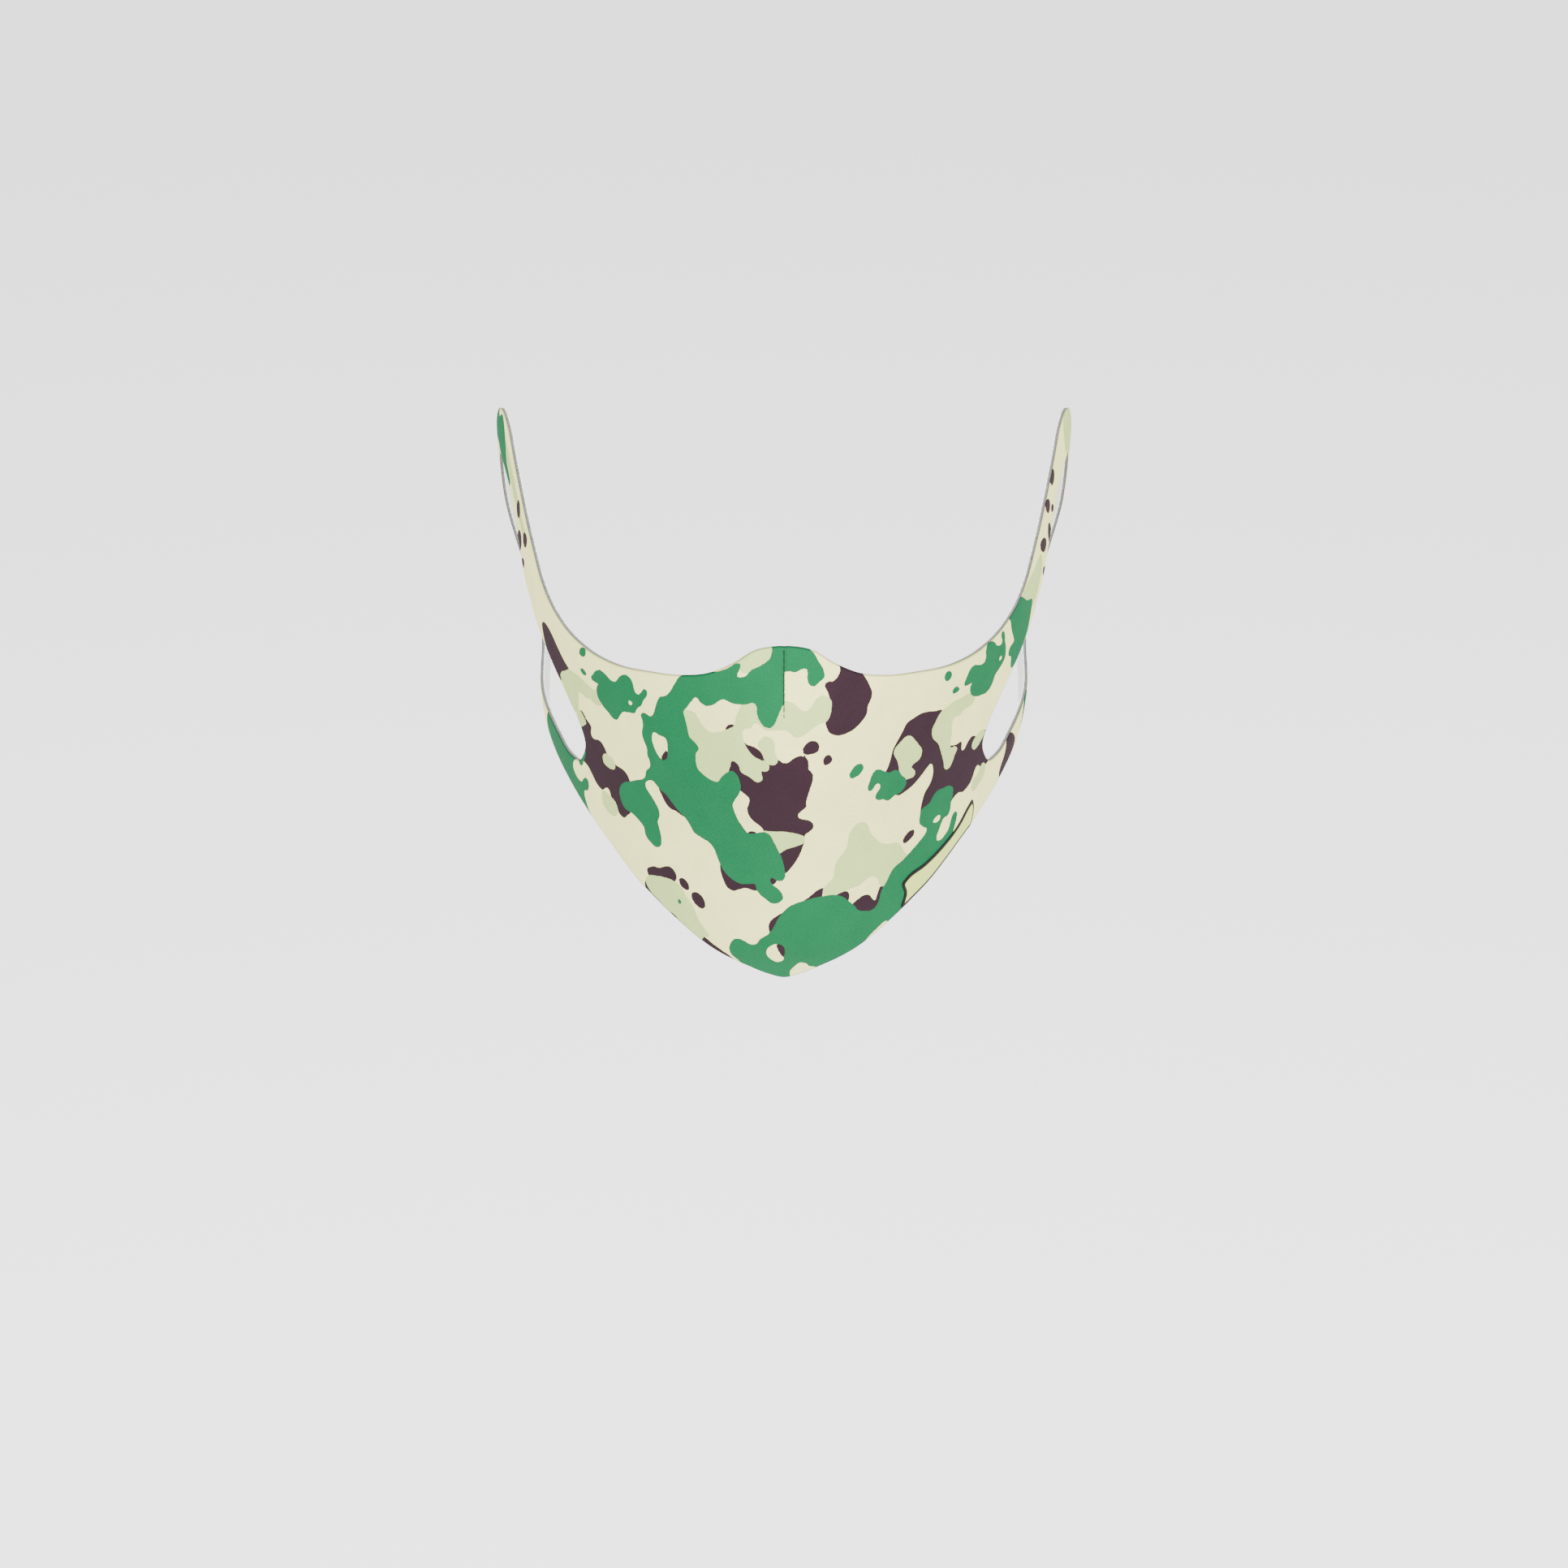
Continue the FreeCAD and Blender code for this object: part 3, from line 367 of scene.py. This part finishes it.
def unrounded(value, radius):
    return np.sqrt(value**2 + radius**2) - radius


def flare(y):
    """How much the form widens over the root of the ear, at full strength."""
    rising = FLARE_SLOPE * np.maximum(y - FLARE_START, 0) ** 2 / (-2 * FLARE_START)
    falling = FLARE_SLOPE * (y - y**2 / (2 * FLARE_END) - FLARE_START / 2)
    return np.where(y < 0, rising, falling)


def section(height):
    """x, y and distance along of points round the wearer's left half of one section."""
    width, depth, power = half_width(height), nose_to_ear(height), 2 / squareness(height)
    turn = np.linspace(0, math.pi / 2, SECTION_STEPS + 1)
    x = rounded(np.sin(turn) ** power * unrounded(width, RIDGE_ROUNDING), RIDGE_ROUNDING)
    y = -rounded(np.cos(turn).clip(0) ** power * unrounded(depth, TEMPLE_ROUNDING), TEMPLE_ROUNDING)
    behind = np.arange(1, BEHIND_EAR_REACH + 1)
    x = np.append(x, width - behind**2 / (2 * BEHIND_EAR_RADIUS))
    y = np.append(y, behind)
    x += ear_flare(height) * flare(y)
    return x, y, np.append(0, np.cumsum(np.hypot(np.diff(x), np.diff(y))))


def seen(axis, place, height):
    """(along, height) of the surface point with this x (axis 0) or y (axis 1)."""
    shape = section(height)
    count = SECTION_STEPS + 1 if axis == 0 else len(shape[0])
    return np.interp(place, shape[axis][:count], shape[2][:count]), height


def grid_column(height):
    """The surface points of one section at every GRID_ALONG."""
    x, y, along = section(height)
    far = np.abs(GRID_ALONG)
    across = np.copysign(np.interp(far, along, x), GRID_ALONG)
    return np.stack([across, np.interp(far, along, y), np.full_like(far, height)], axis=1)


SURFACE = np.stack([grid_column(height) for height in GRID_HEIGHT], axis=1)


def blend_weights(t):
    """Shares of the four grid points round a place a part t past the second, and how they change with t."""
    shares = [-t + 2 * t**2 - t**3, 2 - 5 * t**2 + 3 * t**3, t + 4 * t**2 - 3 * t**3, t**3 - t**2]
    changes = [4 * t - 1 - 3 * t**2, 9 * t**2 - 10 * t, 1 + 8 * t - 9 * t**2, 3 * t**2 - 2 * t]
    return np.stack(shares, -1) / 2, np.stack(changes, -1) / 2


def surface(places):
    """The surface point of each place, and how it moves with along and with height."""
    offset = places - [GRID_ALONG[0], GRID_HEIGHT[0]]
    cell = np.floor(offset).astype(int)
    (share_a, change_a), (share_h, change_h) = [blend_weights((offset - cell)[:, k]) for k in (0, 1)]
    rows, columns = [cell[:, k, None] + np.arange(-1, 3) for k in (0, 1)]
    near = SURFACE[rows[:, :, None], columns[:, None, :]]
    return [np.einsum("ni,nj,nijk->nk", a, h, near)
            for a, h in ((share_a, share_h), (change_a, share_h), (share_a, change_h))]


def unit(vectors):
    return vectors / np.linalg.norm(vectors, axis=-1, keepdims=True)


def smooth_loop(points, step):
    """Points about every step along a smooth closed curve through the given ones."""
    points = np.array(points, float)
    after = np.roll(points, -1, axis=0)
    length = np.linalg.norm(after - points, axis=1)
    lead = np.roll(length, 1)
    chord = (after - points) / length[:, None]
    slope = (np.roll(chord, 1, axis=0) * length[:, None] + chord * lead[:, None]) / (lead + length)[:, None]
    pieces = []
    for i, span in enumerate(length):
        j = (i + 1) % len(points)
        t = np.arange(max(round(span / step), 1))[:, None] / max(round(span / step), 1)
        pieces.append((2 * t**3 - 3 * t**2 + 1) * points[i] + (3 * t**2 - 2 * t**3) * points[j]
                      + ((t**3 - 2 * t**2 + t) * slope[i] + (t**3 - t**2) * slope[j]) * span)
    return np.concatenate(pieces)


def segments(line, closed=True):
    return (line, np.roll(line, -1, axis=0)) if closed else (line[:-1], line[1:])


def nearest(places, lines):
    """How far each place is from the nearest of the lines, and the point on it."""
    best = np.full(len(places), np.inf)
    found = np.zeros_like(places)
    for starts, ends in lines:
        for start, run in zip(starts, ends - starts):
            t = np.clip((places - start) @ run / (run @ run), 0, 1)
            point = start + t[:, None] * run
            distance = np.hypot(*(places - point).T)
            closer = distance < best
            best[closer] = distance[closer]
            found[closer] = point[closer]
    return best, found


def inside(places, loop):
    """Whether each place is inside a closed loop."""
    result = np.zeros(len(places), bool)
    along, height = places.T
    for (a0, h0), (a1, h1) in zip(*segments(loop)):
        if h0 != h1:
            crossing = a0 + (height - h0) * (a1 - a0) / (h1 - h0)
            result ^= ((h0 > height) != (h1 > height)) & (along < crossing)
    return result


def within(places, loops):
    """Whether each place is inside the first loop and outside all the others."""
    result = inside(places, loops[0])
    for hole in loops[1:]:
        result &= ~inside(places, hole)
    return result


def triangulate(loops, seams, pitch):
    """(places, triangles) that fill the first loop round the others, with edges along the loops and seams.

    pitch is how far apart the inner corners are.
    """
    points, edges, count = [], [], 0
    for line, closed in [(loop, True) for loop in loops] + [(seam, False) for seam in seams]:
        last = len(line) if closed else len(line) - 1
        edges += [(count + k, count + (k + 1) % len(line)) for k in range(last)]
        points.append(line)
        count += len(line)
    rims = [segments(loop) for loop in loops]
    ring = []
    for starts, ends in rims:
        square = unit(ends - starts)[:, ::-1] * [1, -1]
        ring += [(starts + ends) / 2 + square * RING, (starts + ends) / 2 - square * RING]
    low, high = loops[0].min(axis=0), loops[0].max(axis=0)
    rows = np.arange(low[1], high[1], pitch * math.sqrt(3) / 2)
    steps = np.arange(low[0], high[0], pitch)
    lattice = np.concatenate([np.stack([steps + k % 2 * pitch / 2, np.full_like(steps, row)], axis=1)
                              for k, row in enumerate(rows)])
    for group, gap in ((np.concatenate(ring), 0.8 * RING), (lattice, 0.6 * pitch + RING)):
        group = group[within(group, loops)]
        clear = nearest(group, rims)[0] > gap
        if seams:
            clear &= nearest(group, [segments(seam, closed=False) for seam in seams])[0] > SEAM_CLEARANCE
        points.append(group[clear])
    corners, _, faces, *_ = delaunay_2d_cdt([Vector(p) for p in np.concatenate(points)], edges, [], 0, WELD)
    corners, faces = np.array(corners, float), np.array(faces)
    return corners, faces[within(corners[faces].mean(axis=1), loops)]


def smooth_step(value):
    t = np.clip(value, 0, 1)
    return t * t * (3 - 2 * t)


class Cloth:
    """A triangulated patch of the surface, with the relief of its outer face."""

    def __init__(self, loops, seams=(), pitch=COARSE, roll=0.0, dart=0.0):
        self.places, self.triangles = triangulate(loops, seams, pitch)
        self.points, across, upward = surface(self.places)
        self.normals = unit(np.cross(across, upward))
        hub, share = np.zeros_like(self.places), np.zeros(len(self.places))
        for corner in range(3):
            np.add.at(hub, self.triangles[:, corner], self.places[self.triangles].mean(axis=1))
            np.add.at(share, self.triangles[:, corner], 1)
        inward = self.places + INWARD_NUDGE * (hub / share.clip(1)[:, None] - self.places)
        self.rim, foot = nearest(inward, [segments(loop) for loop in loops])
        fall = roll * np.exp(-self.rim / EDGE_REACH)
        slope = fall[:, None] / EDGE_REACH * unit(inward - foot)
        along, height = self.places.T
        groove = dart * np.exp(-((along / DART_WIDTH) ** 2)) * smooth_step((height - DART_END) / DART_FADE)
        slope[:, 0] += 2 * along / DART_WIDTH**2 * groove
        self.relief = -fall - groove
        tilt = slope[:, :1] * across / np.sum(across**2, axis=1, keepdims=True)
        tilt += slope[:, 1:] * upward / np.sum(upward**2, axis=1, keepdims=True)
        self.outer_normals = unit(self.normals - tilt)

    def shell(self, name, faces, materials, keep=None, relief=True, fields=None):
        """A closed shell over some of the triangles. The second material, if any, is for its cut edge."""
        kept = self.triangles if keep is None else self.triangles[keep]
        used, kept = np.unique(kept, return_inverse=True)
        kept = kept.reshape(-1, 3)
        count, normals = len(used), self.normals[used]
        lift = self.relief[used] if relief else np.zeros(count)
        outer_normals = self.outer_normals[used] if relief else normals
        outer = self.points[used] + normals * (faces[1] + lift)[:, None]
        inner = self.points[used] + normals * faces[0]
        edges = np.concatenate([kept[:, [0, 1]], kept[:, [1, 2]], kept[:, [2, 0]]])
        _, index, uses = np.unique(np.sort(edges, axis=1), axis=0, return_index=True, return_counts=True)
        rim = edges[index[uses == 1]]
        walls = np.stack([rim[:, 0] + count, rim[:, 1] + count, rim[:, 1], rim[:, 0]], axis=1)
        points = np.concatenate([outer, inner])
        run, rise = [points[walls[:, k]] - points[walls[:, 0]] for k in (1, 3)]
        wall_normals = unit(np.cross(run, rise))
        flipped = kept[:, ::-1]
        mesh = bpy.data.meshes.new(name)
        mesh.from_pydata(points * MM, [], kept.tolist() + (flipped + count).tolist() + walls.tolist())
        mesh.polygons.foreach_set("use_smooth", [True] * len(mesh.polygons))
        for material in materials:
            mesh.materials.append(material)
        if len(materials) > 1:
            mesh.polygons.foreach_set("material_index", [0] * 2 * len(kept) + [1] * len(walls))
        shown = dict(fields or {}, rim=self.rim)
        for key, values in shown.items():
            attribute = mesh.attributes.new(key, "FLOAT", "POINT")
            attribute.data.foreach_set("value", np.tile(values[used], 2).astype(np.float32))
        place = mesh.attributes.new("place", "FLOAT_VECTOR", "POINT")
        flat = np.column_stack([self.places[used], np.zeros(count)])
        place.data.foreach_set("vector", np.tile(flat, (2, 1)).astype(np.float32).ravel())
        mesh.normals_split_custom_set(np.concatenate([
            outer_normals[kept].reshape(-1, 3), -normals[flipped].reshape(-1, 3),
            np.repeat(wall_normals, 4, axis=0)]))
        obj = bpy.data.objects.new(name, mesh)
        bpy.context.scene.collection.objects.link(obj)
        corners = points[:count][kept]
        sides = np.cross(corners[:, 1] - corners[:, 0], corners[:, 2] - corners[:, 0])
        area = np.linalg.norm(sides, axis=1).sum() / 2 * MM**2
        spread = np.ptp(self.places[used], axis=0) * MM
        return obj, area, spread


def field(places, shapes):
    """How far inside the nearest shape each place is; negative outside, down to -PRINT_REACH."""
    value = np.full(len(places), -PRINT_REACH)
    for shape in shapes:
        loop = smooth_loop(shape, CURVE_STEP)
        low, high = loop.min(axis=0) - PRINT_REACH, loop.max(axis=0) + PRINT_REACH
        close = np.all((places > low) & (places < high), axis=1)
        if close.any():
            distance = nearest(places[close], [segments(loop)])[0]
            signed = np.where(inside(places[close], loop), distance, -distance)
            value[close] = np.maximum(value[close], signed)
    return value


def oval(along, height, long, wide, tilt):
    """Points round an oval mark."""
    turns = np.arange(8) * math.pi / 4
    lean = math.radians(tilt)
    forward, sideways = long * np.cos(turns), wide * np.sin(turns)
    return np.stack([along + forward * math.cos(lean) - sideways * math.sin(lean),
                     height + forward * math.sin(lean) + sideways * math.cos(lean)], axis=1)


# Colours, linear: dyes, and painted shade at the cut edges, in the foam's pores and along the dart
CREAM = (0.786, 0.764, 0.302, 1.0)
INKS = {"brown": (0.024, 0.011, 0.016, 1.0), "sage": (0.419, 0.527, 0.177, 1.0),
        "green": (0.005, 0.107, 0.038, 1.0)}
INKS["marks"] = INKS["brown"]
# Painted shade along the raw-cut rim of the printed face: its tint, and no shade further in
RIM_SHADE = (0.35, 0.35, 0.37, 1.0)
RIM_UNSHADED = (1.0, 1.0, 1.0, 1.0)
# Cut edge of the face knit, near black as painted shade
CUT_EDGE_SHADE = (0.1, 0.098, 0.085, 1.0)
LINING_WHITE = (0.82, 0.82, 0.79, 1.0)
# Grey foam core, made darker as painted shade where it shows at the cut edge
FOAM_GREY_AND_EDGE_SHADE = (0.16, 0.16, 0.155, 1.0)
# Painted shade in the foam's open cells
FOAM_PORE_SHADE = (0.05, 0.05, 0.05, 1.0)
# Thread of the dart, its own dark colour darkened further as painted shade of the crease it lies in
THREAD_AND_CREASE_SHADE = (0.015, 0.02, 0.014, 1.0)
TAPE_WHITE = (0.66, 0.66, 0.63, 1.0)
LABEL_GROUND = (0.55, 0.62, 0.14, 1.0)
LABEL_LINE = (0.006, 0.004, 0.004, 1.0)
FLOOR_WHITE = (0.9, 0.9, 0.9, 1.0)
GAP_SHADE = 0.72

# Make-up of the surfaces: millimetres, and 1 / millimetres for scales
SHINE = 0.08
NOISE_RANGE = (0.3, 0.7)
WAVE_PERIOD = 0.314
FLECK_SCALE, CLOUD_SCALE, DRAPE_SCALE = 2.2, 0.12, 0.05
RAGGED = 0.07
LABEL_BORDER = 0.95
FINE_KNIT = (0.5, 0.6)


class Finish:
    """A material under construction."""

    def __init__(self, name, roughness, sheen):
        self.material = bpy.data.materials.new(name)
        self.material.use_nodes = True
        self.nodes = self.material.node_tree.nodes
        self.shader = self.nodes["Principled BSDF"]
        self.shader.inputs["Roughness"].default_value = roughness
        self.shader.inputs["Sheen Weight"].default_value = sheen
        self.shader.inputs["Specular IOR Level"].default_value = SHINE
        self.place = self.add("ShaderNodeAttribute", attribute_name="place").outputs["Vector"]

    def add(self, kind, sockets=None, **settings):
        """A new node. Each socket takes a constant or another node's output."""
        node = self.nodes.new(kind)
        for key, value in settings.items():
            setattr(node, key, value)
        for key, value in (sockets or {}).items():
            if isinstance(value, bpy.types.NodeSocket):
                self.material.node_tree.links.new(value, node.inputs[key])
            else:
                node.inputs[key].default_value = value
        return node

    def calculate(self, operation, a, b):
        return self.add("ShaderNodeMath", {0: a, 1: b}, operation=operation).outputs[0]

    def noise(self, scale, low, high, detail=2.0):
        """Noise on the cloth between low and high, with a grain of 1 / scale millimetres."""
        texture = self.add("ShaderNodeTexNoise", {"Vector": self.place, "Scale": scale, "Detail": detail})
        spread = {"Value": texture.outputs["Fac"], "To Min": low, "To Max": high}
        spread["From Min"], spread["From Max"] = NOISE_RANGE
        return self.add("ShaderNodeMapRange", spread).outputs["Result"]

    def mix(self, share, first, second, blend="MIX"):
        sockets = {0: share, 6: first, 7: second}
        return self.add("ShaderNodeMix", sockets, data_type="RGBA", blend_type=blend).outputs[2]

    def above(self, value, edge, softness):
        """0 below the edge and 1 above it."""
        limits = {"Value": value, "From Min": edge - softness, "From Max": edge + softness}
        return self.add("ShaderNodeMapRange", limits).outputs["Result"]

    def field(self, name):
        return self.add("ShaderNodeAttribute", attribute_name=name).outputs["Fac"]

    def speckled(self, colour, amount):
        """The colour made a little lighter and darker in fine flecks and broad clouds."""
        flecks = self.noise(FLECK_SCALE, 1 - amount, 1 + amount)
        clouds = self.noise(CLOUD_SCALE, 1 - amount / 2, 1 + amount / 2)
        level = self.calculate("MULTIPLY", flecks, clouds)
        channels = dict.fromkeys(("Red", "Green", "Blue"), level)
        grey = self.add("ShaderNodeCombineColor", channels).outputs["Color"]
        return self.mix(1.0, colour, grey, blend="MULTIPLY")

    def knit(self, course, wale):
        """Height of small loops, course and wale being their pitches in millimetres."""
        waves = []
        for pitch, direction in ((wale, "X"), (course, "Y")):
            settings = {"Vector": self.place, "Scale": WAVE_PERIOD / pitch}
            wave = self.add("ShaderNodeTexWave", settings, bands_direction=direction)
            wave.inputs["Distortion"].default_value = 1.0
            wave.inputs["Detail"].default_value = 1.0
            waves.append(wave.outputs["Fac"])
        return self.calculate("MULTIPLY", *waves)

    def finish(self, colour, height, depth, drape=0.0):
        """Colour and bumps. depth and drape are in millimetres: the fine relief, and broad soft waves."""
        self.material.node_tree.links.new(colour, self.shader.inputs["Base Color"])
        broad = {"Height": self.noise(DRAPE_SCALE, 0, 1), "Distance": drape * MM, "Strength": 1.0}
        waves = self.add("ShaderNodeBump", broad)
        fine = {"Height": height, "Distance": depth * MM, "Strength": 1.0}
        bump = self.add("ShaderNodeBump", {**fine, "Normal": waves.outputs["Normal"]})
        self.material.node_tree.links.new(bump.outputs["Normal"], self.shader.inputs["Normal"])
        return self.material


def printed_finish():
    """Flat inks on cream knit, each edge a little ragged, with the raw-cut rim darkened as painted shade."""
    finish = Finish("printed_knit", roughness=0.9, sheen=0.0)
    ragged = finish.noise(1.5, -RAGGED, RAGGED, detail=3.0)
    colour = finish.mix(0.0, CREAM, CREAM)
    for name, ink in INKS.items():
        depth = finish.calculate("ADD", finish.field(name), ragged)
        colour = finish.mix(finish.above(depth, -INK_SPREAD, softness=0.05), colour, ink)
    # Painted shade darkens the print within about half a millimetre of the cut edge
    edge_shade = finish.mix(finish.above(finish.field("rim"), 0.35, softness=0.25), RIM_SHADE, RIM_UNSHADED)
    colour = finish.mix(1.0, colour, edge_shade, blend="MULTIPLY")
    return finish.finish(finish.speckled(colour, 0.07), finish.knit(*FINE_KNIT), depth=0.05, drape=0.5)


def plain_finish(name, tint, roughness, sheen, pitch, depth):
    """A knit or weave of one colour, with painted shade between its loops."""
    finish = Finish(name, roughness, sheen)
    loops = finish.knit(pitch, pitch * 1.2)
    # Painted shade: the tint dimmed by GAP_SHADE where the loops dip
    between = tuple(GAP_SHADE * value for value in tint[:3]) + (1.0,)
    colour = finish.mix(finish.above(loops, 0.25, softness=0.25), between, tint)
    return finish.finish(finish.speckled(colour, 0.06), loops, depth, drape=0.4)


def foam_finish(name, tint):
    """Fine open cells, their hollows darkened as painted shade."""
    finish = Finish(name, roughness=0.95, sheen=0.0)
    cells = finish.add("ShaderNodeTexVoronoi", {"Vector": finish.place, "Scale": 5.0}).outputs["Distance"]
    colour = finish.mix(finish.above(cells, 0.3, softness=0.3), FOAM_PORE_SHADE, tint)
    return finish.finish(finish.speckled(colour, 0.06), cells, depth=0.06)


def label_finish():
    """A pale ground with a thin dark line round its edge and nothing else printed on it."""
    finish = Finish("label_print", roughness=0.55, sheen=0.0)
    rim = finish.field("rim")
    colour = finish.mix(finish.above(rim, LABEL_BORDER, softness=0.1), LABEL_LINE, LABEL_GROUND)
    return finish.finish(finish.speckled(colour, 0.05), finish.knit(*FINE_KNIT), depth=0.03)


def even_loop(corners, step):
    """Points about every step along the straight sides between corners."""
    corners = np.array(corners, float)
    points = []
    for start, end in zip(*segments(corners)):
        count = max(math.ceil(np.linalg.norm(end - start) / step), 1)
        points += [start + (end - start) * k / count for k in range(count)]
    return np.array(points)


def across_cloth(y, side):
    """A seam round one side of the mask at this y."""
    return np.array([(side * seen(1, y, height)[0], height) for height in SEAM_HEIGHTS])


def thread(name, places, lifts, radius, material):
    """A thread over the places, each lifted off the surface by its own amount."""
    points, along, up = surface(places)
    points = points + unit(np.cross(along, up)) * lifts[:, None]
    curve = bpy.data.curves.new(name, "CURVE")
    curve.dimensions = "3D"
    curve.bevel_depth = radius * MM
    curve.bevel_resolution = 2
    curve.use_fill_caps = True
    line = curve.splines.new("POLY")
    line.points.add(len(points) - 1)
    for spot, point in zip(line.points, points * MM):
        spot.co = (*point, 1.0)
    curve.materials.append(material)
    obj = bpy.data.objects.new(name, curve)
    bpy.context.scene.collection.objects.link(obj)
    return obj


def regions(cloth):
    """Which triangles belong to which part of the mask."""
    x, y, _ = surface(cloth.places[cloth.triangles].mean(axis=1))[0].T
    parts = {"front": y < FRONT_END}
    for side, sign in (("left", 1), ("right", -1)):
        parts[f"{side}_wing"] = (x * sign > 0) & (y > FRONT_END) & (y < WING_END)
        parts[f"{side}_loop"] = (x * sign > 0) & (y > WING_END)
    return parts


# Outline of the whole cloth
left_half = [seen(0, *place) for place in TOP_OVER_FACE] + [seen(1, *place) for place in LOOP_EDGE]
left_half += [seen(0, *place) for place in BOTTOM_OVER_FACE]
outline = smooth_loop(left_half + [(-along, height) for along, height in left_half[-2:0:-1]], OUTLINE_STEP)
opening = smooth_loop([seen(1, *place) for place in EAR_OPENING], OUTLINE_STEP)
loops = [outline, opening, opening * [-1, 1]]
seams = [across_cloth(y, side) for y in (FRONT_END, WING_END) for side in (1, -1)]
dart_rows = np.arange(DART_END - 1, DART_ROWS_TOP, CURVE_STEP)
dart = [np.array([(along, height) for height in dart_rows]) for along in DART_COLUMNS]
outer = Cloth(loops, seams + dart, pitch=FINE, roll=EDGE_ROLL, dart=DART_DEPTH)
cloths = {"face": outer, "foam": Cloth(loops, seams)}
cloths["lining"] = cloths["foam"]

shapes = {"brown": BROWN, "sage": SAGE, "green": GREEN, "marks": [oval(*spot) for spot in SPOTS]}
fields = {name: field(outer.places, shapes[name]) for name in INKS}
fields["green"] = np.minimum(fields["green"], -field(outer.places, GREEN_HOLES) - 2 * INK_SPREAD)

# The face knit's cut edge is coloured as painted shade
cut_edge = plain_finish("knit_cut_edge", CUT_EDGE_SHADE, roughness=0.9, sheen=0.0, pitch=0.3, depth=0.03)
finishes = {"face": [printed_finish(), cut_edge],
            "foam": [foam_finish("foam_core", FOAM_GREY_AND_EDGE_SHADE)],
            "lining": [plain_finish("white_lining", LINING_WHITE, roughness=0.85, sheen=0.1,
                                    pitch=1.1, depth=0.12)]}

# Trim
tape_corners = [(-TAPE["half"], TAPE["end"]), (TAPE["half"], TAPE["end"]),
                (TAPE["half"], TAPE["top"]), (-TAPE["half"], TAPE["top"])]
tape_finish = plain_finish("seam_tape", TAPE_WHITE, roughness=0.6, sheen=0.1, pitch=0.35, depth=0.04)
tape = Cloth([even_loop(tape_corners, TAPE_STEP)]).shell("seam_tape_strip", TAPE["faces"], [tape_finish])[0]
label_cloth = Cloth([smooth_loop(LABEL_EDGE, CURVE_STEP)], pitch=FINE, roll=LABEL_ROLL)
label = label_cloth.shell("label_patch", LABEL_FACES, [label_finish()])[0]
# The dart thread is dark partly as its own colour and partly as painted shade of the crease
thread_finish = plain_finish("dart_thread", THREAD_AND_CREASE_SHADE, roughness=0.6, sheen=0.1, pitch=0.2, depth=0.02)
seam_run = np.arange(STITCH_TOP, DART_END, -THREAD_STEP)
lifts = STITCH_DIP + STITCH_RISE * np.abs(np.sin(math.pi * (STITCH_TOP - seam_run) / STITCH_PITCH))
seam_places = np.stack([np.zeros_like(seam_run), seam_run], axis=1)
stitches = thread("dart_stitches", seam_places, lifts, THREAD_RADIUS, thread_finish)
for obj, node, slot in ((tape, "nose_dart_tape", "seam_tape"), (label, "side_label", "label_print"),
                        (stitches, "nose_dart_stitching", "dart_thread")):
    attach(obj, "mask_front")
    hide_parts(node)

for layer, faces in LAYERS.items():
    printed = layer == "face"
    for region, keep in regions(cloths[layer]).items():
        obj, area, spread = cloths[layer].shell(f"{layer}_cloth_{region}", faces, finishes[layer], keep,
                                                relief=printed, fields=fields if printed else None)
        if region == "front":
            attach(obj, "mask_front")
            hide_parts(f"{layer}_front")
            continue
        side, part = region.split("_")
        if part == "wing":
            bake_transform(obj)
            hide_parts(f"{layer}_{side}_upper_strap", f"{layer}_{side}_lower_strap")
        else:
            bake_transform(obj)
            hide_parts(f"{layer}_{side}_ear_arc")

# Studio
floor_mesh = bpy.data.meshes.new("floor")
reach, drop = 12.0, -0.45
floor_corners = [(x * reach, y * reach, drop) for x, y in ((-1, -1), (1, -1), (1, 1), (-1, 1))]
floor_mesh.from_pydata(floor_corners, [], [(0, 1, 2, 3)])
floor_material = bpy.data.materials.new("studio_floor")
floor_material.use_nodes = True
floor_shader = floor_material.node_tree.nodes["Principled BSDF"]
floor_shader.inputs["Base Color"].default_value = FLOOR_WHITE
floor_shader.inputs["Emission Color"].default_value = FLOOR_WHITE
floor_shader.inputs["Emission Strength"].default_value = 0.7
floor_shader.inputs["Roughness"].default_value = 0.9
floor_mesh.materials.append(floor_material)
floor = bpy.data.objects.new("floor", floor_mesh)
bpy.context.scene.collection.objects.link(floor)

world = bpy.data.worlds.new("studio")
world.use_nodes = True
world.node_tree.nodes["Background"].inputs["Color"].default_value = (1.0, 1.0, 1.0, 1.0)
world.node_tree.nodes["Background"].inputs["Strength"].default_value = 1.55
bpy.context.scene.world = world


MASK_MIDDLE = (0, -0.06, -0.02)


def softbox(name, place, size, power):
    """A square area light that faces the mask."""
    light = bpy.data.lights.new(name, "AREA")
    light.size = size
    light.energy = power
    obj = bpy.data.objects.new(name, light)
    obj.location = place
    obj.rotation_euler = (Vector(MASK_MIDDLE) - Vector(place)).to_track_quat("-Z", "Y").to_euler()
    bpy.context.scene.collection.objects.link(obj)


softbox("key", (-0.3, -1.2, 1.2), size=1.0, power=46.0)
softbox("fill", (0.9, -1.0, 0.6), size=1.2, power=20.0)
softbox("top", (0.0, 0.3, 1.3), size=1.0, power=20.0)

camera = bpy.data.objects.new("camera", bpy.data.cameras.new("camera"))
camera.data.lens = 124.38
camera.data.sensor_width = 36.0
camera.location = (0.0, -1.4242, 0.4755)
camera.rotation_euler = (math.radians(69.0), 0.0, 0.0)
bpy.context.scene.collection.objects.link(camera)
bpy.context.scene.camera = camera
